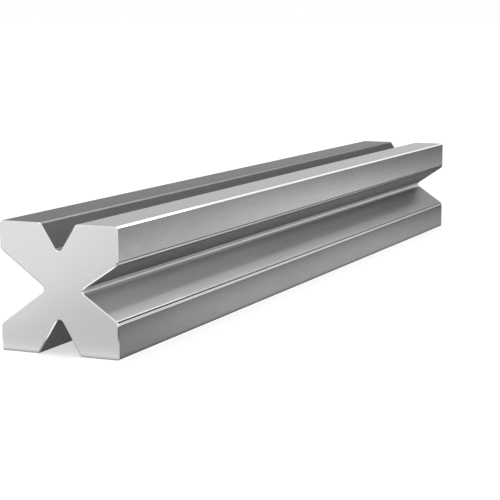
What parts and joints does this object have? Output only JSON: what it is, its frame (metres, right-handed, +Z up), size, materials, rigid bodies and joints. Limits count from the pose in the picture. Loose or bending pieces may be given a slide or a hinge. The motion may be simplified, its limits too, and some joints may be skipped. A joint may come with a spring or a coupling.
{
  "type": "multi-v die block",
  "caption": "Square ground steel bar with a V groove of a different size along each side, turned so that the chosen groove faces up under a press brake's punch.",
  "frame": {"origin": "centre of the base, halfway along the block, at the level of the lower lands", "axes": "+X along the block, +Y to the side of the widest groove, +Z up to the narrowest groove"},
  "size_m": [0.5, 0.06, 0.06],
  "materials": {
    "ground_steel": "satin ground, with fine grinding lines and small bright chamfers"
  },
  "bodies": {
    "root": {"die_block": "ground_steel"}
  },
  "joints": []
}
